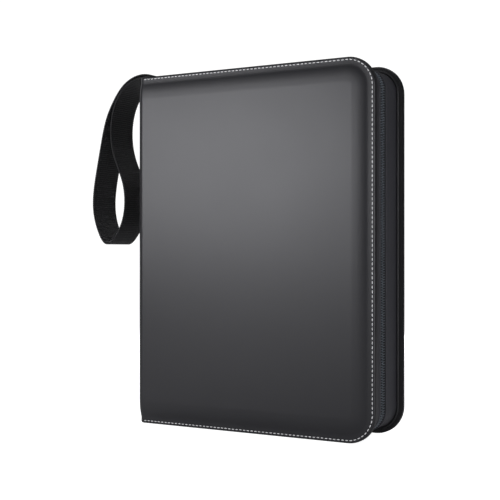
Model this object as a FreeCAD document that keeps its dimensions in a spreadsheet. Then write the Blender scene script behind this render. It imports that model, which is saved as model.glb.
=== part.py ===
import FreeCAD, Part
import Sketcher
import math
import os

# A zip-around trading card binder that stands closed on its lower edges, with its spine at x = 0.
# +X runs from the spine to the fore-edge, +Y from the front cover to the back cover, +Z up.

SIZES = [
    # the whole binder
    ("total_height", 355.0), ("total_width", 264.0), ("total_depth", 72.0),
    ("corner_radius", 28.0), ("panel_thickness", 6.0),
    # layers of a panel, from the outside in: skin, padding, board, lining
    ("skin", 1.0), ("padding", 1.5), ("lining", 1.0),
    # gusset and zip, measured in from the covers' outline and along y
    ("gusset_recess", 6.0), ("wall_thickness", 1.5), ("gusset_start", 1.0),
    ("bead_size", 2.4), ("zip_y", -3.5), ("wall_to_zip", 6.5),
    ("tape_thickness", 0.8), ("tape_width", 9.5), ("tape_half_gap", 0.7),
    ("teeth_height", 1.4), ("teeth_width", 4.2), ("teeth_half_gap", 0.6), ("teeth_start", 6.0),
    ("end_tab_length", 16.0), ("end_tab_thickness", 0.8), ("end_tab_overlap", 1.0),
    # zip slider and pull
    ("slider_start", 9.0), ("slider_length", 14.0), ("slider_swing_room", 9.0),
    ("slider_plate", 1.0), ("slider_gap", 0.4),
    ("flange_width", 0.9), ("web_length", 3.0), ("web_half_width", 0.4),
    ("bridge_length", 8.0), ("bridge_width", 2.0), ("bridge_bar", 0.9), ("bridge_post", 1.5),
    ("bridge_room", 1.5), ("link_wire_radius", 0.5), ("link_half_width", 2.5), ("link_length", 9.5),
    ("pull_length", 22.0), ("pull_width", 9.0), ("pull_thickness", 2.2), ("pull_neck_width", 3.6),
    # carrying strap
    ("strap_width", 38.0), ("strap_ply", 1.5), ("strap_ply_gap", 0.2), ("strap_root_depth", 20.0),
    ("strap_root_rise", 1.6), ("strap_clearance", 0.3),
    # ring metal
    ("ring_radius", 18.0), ("ring_wire_radius", 1.5), ("ring_spacing", 108.0), ("ring_lift", 1.0),
    ("ring_tip_angle", 0.3), ("housing_width", 24.0), ("housing_height", 7.0),
    ("housing_wall", 0.8), ("housing_end_gap", 35.0),
    ("blade_lift", 1.2), ("blade_thickness", 1.0), ("blade_clearance", 0.3), ("blade_half_gap", 0.2),
    ("blade_end_gap", 22.0), ("slot_half_length", 2.2), ("slot_inner", 6.6), ("slot_foot", 1.5),
    ("rivet_radius", 2.0), ("rivet_clearance", 0.1), ("rivet_head_radius", 4.0),
    ("rivet_head_height", 1.0), ("rivet_end_gap", 16.0),
    ("trigger_width", 12.0), ("trigger_neck_width", 8.0), ("trigger_plate", 1.1),
    ("trigger_lift", 3.6), ("trigger_inside", 6.5), ("trigger_reach", 3.0), ("trigger_height", 11.0),
    ("trigger_lip", 3.3),
    # leaves
    ("leaf_edge_gap", 1.2), ("leaf_end_gap", 29.5), ("leaf_thickness", 0.45), ("leaf_pitch", 0.8),
    ("leaf_margin", 8.5), ("leaf_hole_radius", 4.0),
]
LEAVES_PER_SIDE = 10
CREASE_SHARE_DEG = 45   # half of a crease belongs to the spine and half to the cover
OVERSHOOT = 1.0         # how far a cutting block runs past the surface it cuts
STRAP_STEPS = 6         # points on the strap's faces for each point of its middle line

# The hanging strap's middle line, (x, z) from the top of the spine's outer face, outer strand first.
STRAP_LINE = [
    (-18.7, 3.9), (-32.6, -3.8), (-44.5, -18.0), (-54.4, -36.5), (-61.5, -62.0), (-67.5, -90.0),
    (-72.7, -124.0), (-66.6, -156.0), (-54.2, -171.0), (-41.5, -161.0), (-30.8, -132.0),
    (-33.0, -107.0), (-44.8, -78.0), (-49.3, -50.0), (-44.4, -24.5), (-35.2, -9.4), (-25.0, -1.4),
    (-16.0, 1.9),
]

document = FreeCAD.newDocument("trading_card_binder")
sheet = document.addObject("Spreadsheet::Sheet", "sizes")
for row, (alias, number) in enumerate(SIZES, start=1):
    sheet.set("A%d" % row, alias)
    sheet.set("B%d" % row, str(number))
    sheet.setAlias("B%d" % row, alias)
document.recompute()


class Size:
    """A length that carries its number and the sheet expression that it stands for."""

    def __init__(self, number, text):
        self.number = number
        self.text = text

    def __add__(self, other):
        other = as_size(other)
        return Size(self.number + other.number, "(%s + %s)" % (self.text, other.text))

    def __sub__(self, other):
        other = as_size(other)
        return Size(self.number - other.number, "(%s - %s)" % (self.text, other.text))

    def __mul__(self, other):
        other = as_size(other)
        return Size(self.number * other.number, "(%s * %s)" % (self.text, other.text))

    def __truediv__(self, other):
        other = as_size(other)
        return Size(self.number / other.number, "(%s / %s)" % (self.text, other.text))

    def __neg__(self):
        return Size(-self.number, "(0 - %s)" % self.text)

    def root(self):
        return Size(math.sqrt(self.number), "sqrt(%s)" % self.text)


def as_size(value):
    return value if isinstance(value, Size) else Size(float(value), "(%r)" % float(value))


def size(alias):
    return Size(float(getattr(sheet, alias)), "sizes." + alias)


# %% Places that several pieces share
height = size("total_height")
spine_inner = size("panel_thickness") / 2
spine_outer = -spine_inner
fore_edge = size("total_width") - spine_inner
board_start = size("skin") + size("padding")
board = size("panel_thickness") - board_start - size("lining")
cover_inner = size("total_depth") / 2 - size("panel_thickness")
mid_height = height / 2

gusset_x = spine_inner + size("gusset_start")
wall_inner = size("gusset_recess") + size("wall_thickness")
tape_inner = wall_inner + size("tape_thickness")
teeth_outer = wall_inner - size("teeth_height")
zip_y = size("zip_y")

ring_x = spine_inner + size("ring_lift") + size("ring_radius")
blade_low = spine_inner + size("blade_lift")
blade_top = blade_low + size("blade_thickness")
ring_heights = [mid_height - size("ring_spacing"), mid_height, mid_height + size("ring_spacing")]
housing_half = mid_height - size("housing_end_gap")

nodes = []


def keep(thing, label):
    """Name a finished sub-part and list it for export."""
    thing.Label = label
    nodes.append(thing)
    return thing


def bind(thing, prop, value):
    thing.setExpression(prop, as_size(value).text)


def place(thing, x=0.0, y=0.0, z=0.0):
    bind(thing, ".Placement.Base.x", x)
    bind(thing, ".Placement.Base.y", y)
    bind(thing, ".Placement.Base.z", z)
    return thing


# %% Sketches
def new_sketch(body, name, plane):
    """A sketch on one of the body's own origin planes."""
    sketch = body.newObject("Sketcher::SketchObject", name)
    for feature in body.Origin.OriginFeatures:
        if feature.Role == plane:
            sketch.AttachmentSupport = [(feature, "")]
    sketch.MapMode = "FlatFace"
    return sketch


def line(sketch, start, end):
    first = FreeCAD.Vector(start[0].number, start[1].number, 0)
    last = FreeCAD.Vector(end[0].number, end[1].number, 0)
    return sketch.addGeometry(Part.LineSegment(first, last), False)


def arc(sketch, centre, radius, start_deg, end_deg):
    middle = FreeCAD.Vector(centre[0].number, centre[1].number, 0)
    circle = Part.Circle(middle, FreeCAD.Vector(0, 0, 1), radius.number)
    shape = Part.ArcOfCircle(circle, math.radians(start_deg), math.radians(end_deg))
    return sketch.addGeometry(shape, False)


def constrain(sketch, kind, value, *where):
    """Add a dimension whose value stays bound to the sheet."""
    index = sketch.addConstraint(Sketcher.Constraint(kind, *where, value.number))
    sketch.setExpression("Constraints[%d]" % index, value.text)


def pin(sketch, geometry, end, x=None, y=None):
    """Hold one end of a line at x or y, measured from the sketch's origin."""
    if x is not None:
        constrain(sketch, "DistanceX", x, -1, 1, geometry, end)
    if y is not None:
        constrain(sketch, "DistanceY", y, -1, 1, geometry, end)


def join(sketch, kind, pairs):
    for pair in pairs:
        sketch.addConstraint(Sketcher.Constraint(kind, *pair))


def square(sketch, kind, lines):
    for one in lines:
        sketch.addConstraint(Sketcher.Constraint(kind, one))


def rectangle(sketch, low, high):
    """A rectangle between two corners."""
    corners = [low, (high[0], low[1]), high, (low[0], high[1])]
    sides = [line(sketch, corners[i], corners[(i + 1) % 4]) for i in range(4)]
    join(sketch, "Coincident", [(sides[i], 2, sides[(i + 1) % 4], 1) for i in range(4)])
    square(sketch, "Horizontal", sides[0::2])
    square(sketch, "Vertical", sides[1::2])
    pin(sketch, sides[0], 1, low[0], low[1])
    pin(sketch, sides[2], 1, high[0], high[1])


def circle(sketch, centre, radius):
    middle = FreeCAD.Vector(centre[0].number, centre[1].number, 0)
    ring = sketch.addGeometry(Part.Circle(middle, FreeCAD.Vector(0, 0, 1), radius.number), False)
    constrain(sketch, "Radius", radius, ring)
    pin(sketch, ring, 3, centre[0], centre[1])


def cover_outline(sketch, inset):
    """The cover's outline: square at the spine, round at both fore-edge corners."""
    left, right = spine_inner + inset, fore_edge - inset
    low, high = inset, height - inset
    radius = size("corner_radius") - inset
    bottom = line(sketch, (left, low), (right - radius, low))
    low_arc = arc(sketch, (right - radius, low + radius), radius, -90, 0)
    side = line(sketch, (right, low + radius), (right, high - radius))
    high_arc = arc(sketch, (right - radius, high - radius), radius, 0, 90)
    top = line(sketch, (right - radius, high), (left, high))
    back = line(sketch, (left, high), (left, low))
    join(sketch, "Tangent", [(bottom, 2, low_arc, 1), (low_arc, 2, side, 1)])
    join(sketch, "Tangent", [(side, 2, high_arc, 1), (high_arc, 2, top, 1)])
    join(sketch, "Coincident", [(top, 2, back, 1), (back, 2, bottom, 1)])
    join(sketch, "Equal", [(low_arc, high_arc)])
    square(sketch, "Horizontal", [bottom, top])
    square(sketch, "Vertical", [side, back])
    constrain(sketch, "Radius", radius, low_arc)
    pin(sketch, bottom, 1, left, low)
    pin(sketch, side, 1, x=right)
    pin(sketch, top, 2, y=high)


def band_outline(sketch, outer, inner, low_start, high_start):
    """A U-shaped band that follows the cover's outline between two insets and opens to the spine."""
    corner = size("corner_radius")
    middle = fore_edge - corner
    low, high = corner, height - corner
    line_0 = line(sketch, (low_start, outer), (middle, outer))
    arc_1 = arc(sketch, (middle, low), corner - outer, -90, 0)
    line_2 = line(sketch, (fore_edge - outer, low), (fore_edge - outer, high))
    arc_3 = arc(sketch, (middle, high), corner - outer, 0, 90)
    line_4 = line(sketch, (middle, height - outer), (high_start, height - outer))
    line_5 = line(sketch, (high_start, height - outer), (high_start, height - inner))
    line_6 = line(sketch, (high_start, height - inner), (middle, height - inner))
    arc_7 = arc(sketch, (middle, high), corner - inner, 0, 90)
    line_8 = line(sketch, (fore_edge - inner, high), (fore_edge - inner, low))
    arc_9 = arc(sketch, (middle, low), corner - inner, -90, 0)
    line_10 = line(sketch, (middle, inner), (low_start, inner))
    line_11 = line(sketch, (low_start, inner), (low_start, outer))
    join(sketch, "Tangent", [(line_0, 2, arc_1, 1), (arc_1, 2, line_2, 1), (line_2, 2, arc_3, 1)])
    join(sketch, "Tangent", [(arc_3, 2, line_4, 1), (line_6, 2, arc_7, 2), (arc_7, 1, line_8, 1)])
    join(sketch, "Tangent", [(line_8, 2, arc_9, 2), (arc_9, 1, line_10, 1)])
    join(sketch, "Coincident", [(line_4, 2, line_5, 1), (line_5, 2, line_6, 1)])
    join(sketch, "Coincident", [(line_10, 2, line_11, 1), (line_11, 2, line_0, 1)])
    join(sketch, "Coincident", [(arc_1, 3, arc_9, 3), (arc_3, 3, arc_7, 3)])
    join(sketch, "Equal", [(arc_1, arc_3)])
    square(sketch, "Horizontal", [line_0, line_4, line_6, line_10])
    square(sketch, "Vertical", [line_2, line_5, line_8, line_11])
    constrain(sketch, "Radius", corner - outer, arc_1)
    constrain(sketch, "Radius", corner - inner, arc_9)
    pin(sketch, line_0, 1, low_start, outer)
    pin(sketch, line_4, 2, high_start, height - outer)
    pin(sketch, line_2, 1, x=fore_edge - outer)


# %% Bodies
def new_body(label):
    return keep(document.addObject("PartDesign::Body", label), label)


def pad(body, sketch, length, reverse=False):
    feature = body.newObject("PartDesign::Pad", body.Name + "_pad")
    feature.Profile = sketch
    feature.Reversed = reverse
    bind(feature, "Length", length)
    body.Tip = feature
    sketch.Visibility = False
    return feature


def pocket(body, sketch, length, reverse=False):
    """A pocket that must take material away, or the sketch faces the wrong way."""
    document.recompute()
    before = body.Shape.Volume
    feature = body.newObject("PartDesign::Pocket", body.Name + "_pocket")
    feature.Profile = sketch
    feature.Reversed = reverse
    bind(feature, "Length", length)
    body.Tip = feature
    sketch.Visibility = False
    document.recompute()
    if body.Shape.Volume >= before:
        raise ValueError("pocket in %s removes nothing" % body.Label)


def box(low, high, name="block"):
    """A Part::Box between two corners."""
    block = document.addObject("Part::Box", name)
    for prop, axis in (("Length", 0), ("Width", 1), ("Height", 2)):
        bind(block, prop, as_size(high[axis]) - low[axis])
    return place(block, *low)


def cylinder(radius, length, centre, axis, name="rod"):
    """A Part::Cylinder that starts at a point and runs along +X, +Y or +Z."""
    rod = document.addObject("Part::Cylinder", name)
    turns = {"X": (0, 1, 0, 90), "Y": (1, 0, 0, -90), "Z": (0, 0, 1, 0)}[axis]
    rod.Placement.Rotation = FreeCAD.Rotation(FreeCAD.Vector(*turns[:3]), turns[3])
    bind(rod, "Radius", radius)
    bind(rod, "Height", length)
    return place(rod, *centre)


def fuse(parts, name="joined"):
    whole = document.addObject("Part::MultiFuse", name)
    whole.Shapes = parts
    whole.Refine = True
    return whole


def group(parts, name="set"):
    whole = document.addObject("Part::Compound", name)
    whole.Links = parts
    return whole


def cut(base, tool, name="cut"):
    rest = document.addObject("Part::Cut", name)
    rest.Base = base
    rest.Tool = tool
    return rest


def common(first, second, name="shared"):
    both = document.addObject("Part::Common", name)
    both.Base = first
    both.Tool = second
    return both


def crease_strip(start_deg, side):
    """An eighth of a tube: the skin's round crease between the spine and a cover."""
    centre = (spine_inner, cover_inner * side, 0)
    sectors = []
    for radius in (size("panel_thickness"), size("panel_thickness") - size("skin")):
        sector = cylinder(radius, height, centre, "Z", "crease_sector")
        sector.Placement.Rotation = FreeCAD.Rotation(FreeCAD.Vector(0, 0, 1), start_deg)
        sector.Angle = CREASE_SHARE_DEG
        sectors.append(sector)
    return cut(*sectors, "crease_strip")


# %% Covers: skin, padding, board and lining, mirrored about y = 0
def build_cover(side_name, side):
    """side is -1 for the front cover and 1 for the back cover."""
    outwards = side > 0
    skin = document.addObject("PartDesign::Body", side_name + "_cover_wrap")
    outside = new_sketch(skin, skin.Name + "_outline", "XZ_Plane")
    cover_outline(outside, as_size(0))
    pad(skin, outside, size("panel_thickness"), reverse=outwards)
    inside = new_sketch(skin, skin.Name + "_inside", "XZ_Plane")
    cover_outline(inside, size("skin"))
    pocket(skin, inside, size("panel_thickness") - size("skin"), reverse=not outwards)
    place(skin, y=cover_inner * side)
    crease = crease_strip(225 if side < 0 else 90, side)
    keep(fuse([skin, crease]), side_name + "_cover_skin")

    layers = [
        ("lining", as_size(0), size("lining")),
        ("board", size("lining"), board),
        ("padding", size("lining") + board, size("padding")),
    ]
    for layer, depth, thickness in layers:
        body = new_body("%s_cover_%s" % (side_name, layer))
        sketch = new_sketch(body, body.Name + "_outline", "XZ_Plane")
        cover_outline(sketch, size("skin"))
        pad(body, sketch, thickness, reverse=outwards)
        place(body, y=(cover_inner + depth) * side)


# %% Gussets: wall, piping bead, zip tape and zip teeth
def build_band(label, inset, y_low, y_high, low_start, high_start):
    body = new_body(label)
    sketch = new_sketch(body, label + "_profile", "XZ_Plane")
    band_outline(sketch, inset[0], inset[1], low_start, high_start)
    pad(body, sketch, y_high - y_low)
    place(body, y=y_high)


def build_gusset(side_name, side):
    def span(near, far):
        """The y range between two distances from the middle of the zip, on this side."""
        ends = [zip_y + near * side, zip_y + far * side]
        return ends if side > 0 else ends[::-1]

    seam = cover_inner - zip_y * side
    bead = size("bead_size")
    tooth_start = gusset_x + size("teeth_start")
    slider_end = gusset_x + size("slider_start") + size("slider_length")
    clear_start = tooth_start if side > 0 else slider_end + size("slider_swing_room")
    tape_end = size("tape_half_gap") + size("tape_width")
    teeth_end = size("teeth_half_gap") + size("teeth_width")
    bands = [
        ("gusset_wall", (size("gusset_recess"), wall_inner), span(size("wall_to_zip"), seam),
         gusset_x, gusset_x),
        ("gusset_bead", (size("gusset_recess") - bead, size("gusset_recess")),
         span(seam - bead, seam), gusset_x, gusset_x),
        ("zip_tape", (wall_inner, tape_inner), span(size("tape_half_gap"), tape_end),
         gusset_x, gusset_x),
        ("zip_teeth", (teeth_outer, wall_inner), span(size("teeth_half_gap"), teeth_end),
         clear_start, tooth_start),
    ]
    for piece, inset, (y_low, y_high), low_start, high_start in bands:
        build_band("%s_%s" % (side_name, piece), inset, y_low, y_high, low_start, high_start)


# %% Spine: skin with its two creases, padding, board, lining and the strap's slot
def build_spine():
    half = cover_inner
    skin = document.addObject("PartDesign::Body", "spine_wrap")
    outline = new_sketch(skin, "spine_skin_outline", "YZ_Plane")
    rectangle(outline, (-half, as_size(0)), (half, height))
    pad(skin, outline, size("panel_thickness"), reverse=True)
    hollow = new_sketch(skin, "spine_skin_inside", "YZ_Plane")
    inset = size("skin")
    rectangle(hollow, (inset - half, inset), (half - inset, height - inset))
    pocket(skin, hollow, size("panel_thickness") - inset)
    place(skin, x=spine_inner)
    wrapped = fuse([skin, crease_strip(180, -1), crease_strip(135, 1)])
    strap_slot = strap_pocket(height - size("strap_root_depth"), height + OVERSHOOT)
    keep(cut(wrapped, strap_slot, "spine_skin_cut"), "spine_skin")

    layers = [
        ("spine_padding", spine_outer + size("skin"), size("padding")),
        ("spine_board", spine_outer + board_start, board),
        ("spine_lining", spine_outer + board_start + board, size("lining")),
    ]
    shank = size("rivet_radius") + size("rivet_clearance")
    for label, x_low, thickness in layers:
        sheet_low = (x_low, inset - half, inset)
        layer = box(sheet_low, (x_low + thickness, half - inset, height - inset), label + "_sheet")
        holes = [cylinder(shank, thickness, (x_low, 0, z), "X") for z in rivet_heights()]
        tools = [strap_pocket(height - size("strap_root_depth"), height)]
        if label != "spine_padding":
            tools = tools + holes
        if label == "spine_lining":
            tools = holes
        for tool in tools[:-1]:
            layer = cut(layer, tool, label + "_part")
        keep(cut(layer, tools[-1], label), label)


def strap_pocket(z_low, z_high):
    """The space in the spine's padding and board that the strap's sewn ends fill."""
    half = size("strap_width") / 2 + size("strap_clearance")
    x_low = spine_outer + size("skin")
    x_high = spine_inner - size("lining")
    return box((x_low, -half, z_low), (x_high, half, z_high), "strap_space")


def build_end_tabs():
    """The two small tabs on the spine's inside that cover the ends of the zip tapes."""
    outer_reach = size("tape_half_gap") + size("tape_width") + size("end_tab_overlap")
    low = zip_y - outer_reach
    high = zip_y + outer_reach
    x_high = spine_inner + size("end_tab_thickness")
    for label, z_low in (("lower_zip_end_tab", wall_inner),
                         ("upper_zip_end_tab", height - wall_inner - size("end_tab_length"))):
        tab = box((spine_inner, low, z_low), (x_high, high, z_low + size("end_tab_length")), label)
        keep(tab, label)


# %% Strap
def strap_centre(index):
    """Height of the middle of one of the two strap plies where they leave the spine."""
    step = size("strap_ply").number + size("strap_ply_gap").number
    foot = height.number + size("strap_root_rise").number + size("strap_clearance").number
    return foot + size("strap_ply").number / 2 + step * index


def build_strap():
    half = size("strap_width") / 2
    ply = size("strap_ply")
    root_low = height - size("strap_root_depth") + size("strap_clearance")
    root_high = height + size("strap_root_rise")
    root = box((-ply, -half, root_low), (ply, half, root_high), "strap_root")
    keep(root, "strap_root")

    shift_x, shift_z = spine_outer.number, height.number
    start_x = -size("strap_clearance").number
    points = [(start_x, strap_centre(1))]
    points += [(x + shift_x, z + shift_z) for x, z in STRAP_LINE]
    points.append((start_x, strap_centre(0)))
    middle = Part.BSplineCurve()
    middle.interpolate([FreeCAD.Vector(x, 0, z) for x, z in points])
    steps = STRAP_STEPS * len(points)
    sides = ([], [])
    for step in range(steps + 1):
        spot = middle.FirstParameter + (middle.LastParameter - middle.FirstParameter) * step / steps
        along = middle.tangent(spot)[0]
        across = FreeCAD.Vector(along.z, 0, -along.x) * (ply.number / 2)
        sides[0].append(middle.value(spot) + across)
        sides[1].append(middle.value(spot) - across)
    edges = []
    for side in sides:
        curve = Part.BSplineCurve()
        curve.interpolate(side)
        edges.append(curve.toShape())
    edges.append(Part.makeLine(sides[0][0], sides[1][0]))
    edges.append(Part.makeLine(sides[0][-1], sides[1][-1]))
    outline = Part.Wire(Part.__sortEdges__(edges))
    ribbon = Part.Face(outline).extrude(FreeCAD.Vector(0, size("strap_width").number, 0))
    ribbon.translate(FreeCAD.Vector(0, -half.number, 0))
    loop = document.addObject("Part::Feature", "strap_loop")
    loop.Shape = ribbon
    keep(loop, "strap_loop")


# %% Zip slider, wire link and pull tab, on the lower run of the zip
def build_slider():
    gap = size("slider_gap")
    plate = size("slider_plate")
    half = size("teeth_half_gap") + size("teeth_width") + gap + size("flange_width")
    x_low = gusset_x + size("slider_start")
    x_high = x_low + size("slider_length")
    y_low = zip_y - half
    y_high = zip_y + half
    outer_high = teeth_outer - gap
    inner_low = tape_inner + gap
    flange_high = wall_inner - gap
    flange = size("flange_width")
    web = size("web_half_width")
    mid = (x_low + x_high) / 2
    bar_half = size("bridge_width") / 2
    bar_x = (mid - size("bridge_length") / 2, mid + size("bridge_length") / 2)
    bar_high = outer_high - plate - size("bridge_room")
    bar_low = bar_high - size("bridge_bar")
    post = size("bridge_post")
    blocks = [
        ((x_low, y_low, outer_high - plate), (x_high, y_high, outer_high)),
        ((x_low, y_low, inner_low), (x_high, y_high, inner_low + plate)),
        ((x_low, y_low, outer_high), (x_high, y_low + flange, flange_high)),
        ((x_low, y_high - flange, outer_high), (x_high, y_high, flange_high)),
        ((x_low, zip_y - web, outer_high), (x_low + size("web_length"), zip_y + web, inner_low)),
        ((bar_x[0], zip_y - bar_half, bar_low), (bar_x[1], zip_y + bar_half, bar_high)),
        ((bar_x[0], zip_y - bar_half, bar_high), (bar_x[0] + post, zip_y + bar_half, outer_high - plate)),
        ((bar_x[1] - post, zip_y - bar_half, bar_high), (bar_x[1], zip_y + bar_half, outer_high - plate)),
    ]
    keep(fuse([box(low, high) for low, high in blocks], "slider_body"), "zip_slider")

    wire = size("link_wire_radius")
    reach = size("link_half_width")
    pivot_x = bar_x[1] - post - wire * 2
    pivot_z = bar_high + size("bridge_room") / 2
    end_x = pivot_x + size("link_length")
    bars = [cylinder(wire, reach * 2, (x, zip_y - reach, pivot_z), "Y") for x in (pivot_x, end_x)]
    for y in (zip_y - reach, zip_y + reach):
        arm = box((pivot_x - wire, y - wire, pivot_z - wire), (end_x + wire, y + wire, pivot_z + wire))
        bars.append(arm)
    keep(fuse(bars, "link_wire"), "pull_link")

    thick = size("pull_thickness") / 2
    wide = size("pull_width") / 2
    neck = size("pull_neck_width") / 2
    body_x = end_x + wire + size("slider_gap")
    left, right = body_x + wide, body_x + size("pull_length") - wide
    low, high = pivot_z - thick, pivot_z + thick
    neck_x = end_x - wire * 2 - size("slider_gap")
    shapes = [
        box((left, zip_y - wide, low), (right, zip_y + wide, high)),
        cylinder(wide, size("pull_thickness"), (left, zip_y, low), "Z"),
        cylinder(wide, size("pull_thickness"), (right, zip_y, low), "Z"),
        box((neck_x, zip_y - neck, low), (left, zip_y + neck, high)),
    ]
    bore = cylinder(wire + size("rivet_clearance"), wide * 2, (end_x, zip_y - wide, pivot_z), "Y")
    keep(cut(fuse(shapes, "pull_blank"), bore, "pull_oval"), "pull_tab")


# %% Ring metal on the spine's inside
def rivet_heights():
    reach = housing_half - size("rivet_end_gap")
    return [mid_height - reach, mid_height + reach]


def housing_arc():
    """Radius of the housing's round top, from its width and height."""
    half, rise = size("housing_width") / 2, size("housing_height")
    return (half * half + rise * rise) / (rise * 2)


def blade_edge():
    """Distance of a blade's outer edge from the middle: just inside the housing's round wall."""
    inside = housing_arc() - size("housing_wall")
    rise = blade_top - (spine_inner + size("housing_height") - housing_arc())
    return (inside * inside - rise * rise).root() - size("blade_clearance")


def build_housing():
    top = spine_inner + size("housing_height")
    radius = housing_arc()
    low, high = mid_height - housing_half, mid_height + housing_half
    centre = (top - radius, 0, low)
    outside = cylinder(radius, high - low, centre, "Z", "housing_outside")
    inside = cylinder(radius - size("housing_wall"), high - low, centre, "Z", "housing_inside")
    half = size("housing_width") / 2
    keeper = box((spine_inner, -half, low), (top + OVERSHOOT, half, high), "housing_keeper")
    shell = common(cut(outside, inside), keeper, "housing_shell")
    slot = size("slot_half_length")
    tools = []
    for z in ring_heights:
        for y_low, y_high in ((-half, -size("slot_inner")), (size("slot_inner"), half)):
            foot = spine_inner + size("slot_foot")
            tools.append(box((foot, y_low, z - slot), (top, y_high, z + slot), "ring_slot"))
    shank = size("rivet_radius") + size("rivet_clearance")
    for z in rivet_heights():
        foot = (spine_inner + OVERSHOOT, 0, z)
        tools.append(cylinder(shank, size("housing_height"), foot, "X", "rivet_hole"))
    keep(cut(shell, group(tools, "housing_cuts"), "ring_housing_cut"), "ring_housing")

    rivets = []
    for z in rivet_heights():
        tail = spine_outer + board_start
        shank_rod = cylinder(size("rivet_radius"), top - tail, (tail, 0, z), "X", "rivet_shank")
        head = cylinder(size("rivet_head_radius"), size("rivet_head_height"), (top, 0, z), "X", "rivet_head")
        rivets.append(fuse([shank_rod, head], "rivet"))
    keep(group(rivets, "housing_rivets"), "housing_rivets")


def build_rings(side_name, side):
    reach = housing_half - size("blade_end_gap")
    near, far = size("blade_half_gap") * side, blade_edge() * side
    y_low, y_high = (near, far) if side > 0 else (far, near)
    blade = box((blade_low, y_low, mid_height - reach), (blade_top, y_high, mid_height + reach), "blade")
    keep(blade, side_name + "_blade")

    halves = []
    outer = size("ring_radius") + size("ring_wire_radius")
    for z in ring_heights:
        ring = document.addObject("Part::Torus", "half_ring")
        bind(ring, "Radius1", size("ring_radius"))
        bind(ring, "Radius2", size("ring_wire_radius"))
        bind(ring, "Angle3", as_size(180) - size("ring_tip_angle"))
        turn = size("ring_tip_angle").number if side > 0 else 180.0
        ring.Placement.Rotation = FreeCAD.Rotation(FreeCAD.Vector(0, 0, 1), turn)
        place(ring, ring_x, 0, z)
        low, high = (ring_x - outer - OVERSHOOT, -outer, z - outer), (blade_top, outer, z + outer)
        under = box(low, high, "ring_trim")
        halves.append(cut(ring, under, "half_ring_cut"))
    keep(group(halves, side_name + "_half_rings"), side_name + "_half_rings")


def build_triggers():
    wide, neck = size("trigger_width") / 2, size("trigger_neck_width") / 2
    plate = size("trigger_plate")
    x_low = spine_inner + size("trigger_lift")
    x_high = x_low + plate
    start = housing_half - size("trigger_inside")
    turn = housing_half + size("trigger_reach")
    for label, way in (("upper_trigger", 1), ("lower_trigger", -1)):
        def z(distance):
            return mid_height + distance * way

        def slab(y_half, x_span, z_span):
            ends = [z(z_span[0]), z(z_span[1])]
            z_low, z_high = ends if way > 0 else ends[::-1]
            return box((x_span[0], -y_half, z_low), (x_span[1], y_half, z_high))

        tip = x_low + size("trigger_height")
        parts = [
            slab(neck, (x_low, x_high), (start, turn)),
            slab(wide, (x_low, tip), (turn - plate, turn)),
            slab(wide, (tip - plate, tip), (turn - plate, turn + size("trigger_lip"))),
        ]
        keep(fuse(parts, label), label)


# %% Leaves
def build_leaves():
    half = mid_height - size("leaf_end_gap")
    outer_edge = fore_edge - tape_inner - size("leaf_edge_gap")
    width = outer_edge - (ring_x + size("ring_radius") - size("leaf_margin"))
    for side_name, side in (("front", -1), ("back", 1)):
        for index in range(LEAVES_PER_SIDE):
            offset = size("leaf_pitch") * (index + 0.5)
            reach = (size("ring_radius") * size("ring_radius") - offset * offset).root()
            hole_x = ring_x + reach
            label = "%s_leaf_%02d" % (side_name, index + 1)
            leaf = new_body(label)
            sketch = new_sketch(leaf, label + "_outline", "XZ_Plane")
            low = (hole_x - size("leaf_margin"), mid_height - half)
            rectangle(sketch, low, (low[0] + width, mid_height + half))
            for z in ring_heights:
                circle(sketch, (hole_x, z), size("leaf_hole_radius"))
            pad(leaf, sketch, size("leaf_thickness"))
            place(leaf, y=offset * side + size("leaf_thickness") / 2)


# %% Build and export
for name, direction in (("front", -1), ("back", 1)):
    build_cover(name, direction)
    build_gusset(name, direction)
build_spine()
build_end_tabs()
build_strap()
build_slider()
build_housing()
for name, direction in (("front", -1), ("back", 1)):
    build_rings(name, direction)
build_triggers()
build_leaves()
document.recompute()

for thing in document.Objects:
    if "Invalid" in thing.State or "Error" in thing.State:
        raise ValueError("%s is %s" % (thing.Label, thing.State))
os.makedirs("parts", exist_ok=True)
for node in nodes:
    if node.Shape.isNull() or not node.Shape.isValid() or not node.Shape.Solids:
        raise ValueError("%s has no valid solid" % node.Label)
    node.Shape.exportStep("parts/%s.step" % node.Label)
print("wrote %d nodes" % len(nodes))
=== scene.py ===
# %% [markdown]
# # A zip-around trading card binder
# The binder is two padded covers and a spine, joined by soft creases. A stiff gusset wall stands round
# each cover, and a coil zip joins the two walls. Rings on the spine hold the pocket leaves, and a webbing
# strap hangs from the top of the spine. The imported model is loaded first: it fixes every size and place.

# %% Load the frame
import math

import bmesh
import bpy
from mathutils import Matrix, Vector


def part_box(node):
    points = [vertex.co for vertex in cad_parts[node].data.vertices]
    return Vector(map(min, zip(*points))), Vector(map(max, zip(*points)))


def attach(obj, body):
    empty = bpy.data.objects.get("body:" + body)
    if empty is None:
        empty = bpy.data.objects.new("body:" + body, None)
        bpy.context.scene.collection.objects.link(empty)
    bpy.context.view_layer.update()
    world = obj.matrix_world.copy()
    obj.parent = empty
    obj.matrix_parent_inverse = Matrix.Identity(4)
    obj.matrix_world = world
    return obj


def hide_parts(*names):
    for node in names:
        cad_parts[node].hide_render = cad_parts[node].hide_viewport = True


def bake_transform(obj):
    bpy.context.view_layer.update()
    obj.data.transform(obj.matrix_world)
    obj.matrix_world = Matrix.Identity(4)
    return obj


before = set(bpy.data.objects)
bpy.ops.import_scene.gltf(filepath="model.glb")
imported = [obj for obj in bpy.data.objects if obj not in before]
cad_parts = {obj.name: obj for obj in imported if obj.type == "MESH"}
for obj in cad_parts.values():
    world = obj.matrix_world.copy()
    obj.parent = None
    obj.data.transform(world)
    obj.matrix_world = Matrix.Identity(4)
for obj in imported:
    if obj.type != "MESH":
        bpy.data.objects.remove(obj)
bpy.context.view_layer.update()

MM = 0.001
scene = bpy.context.scene

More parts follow.
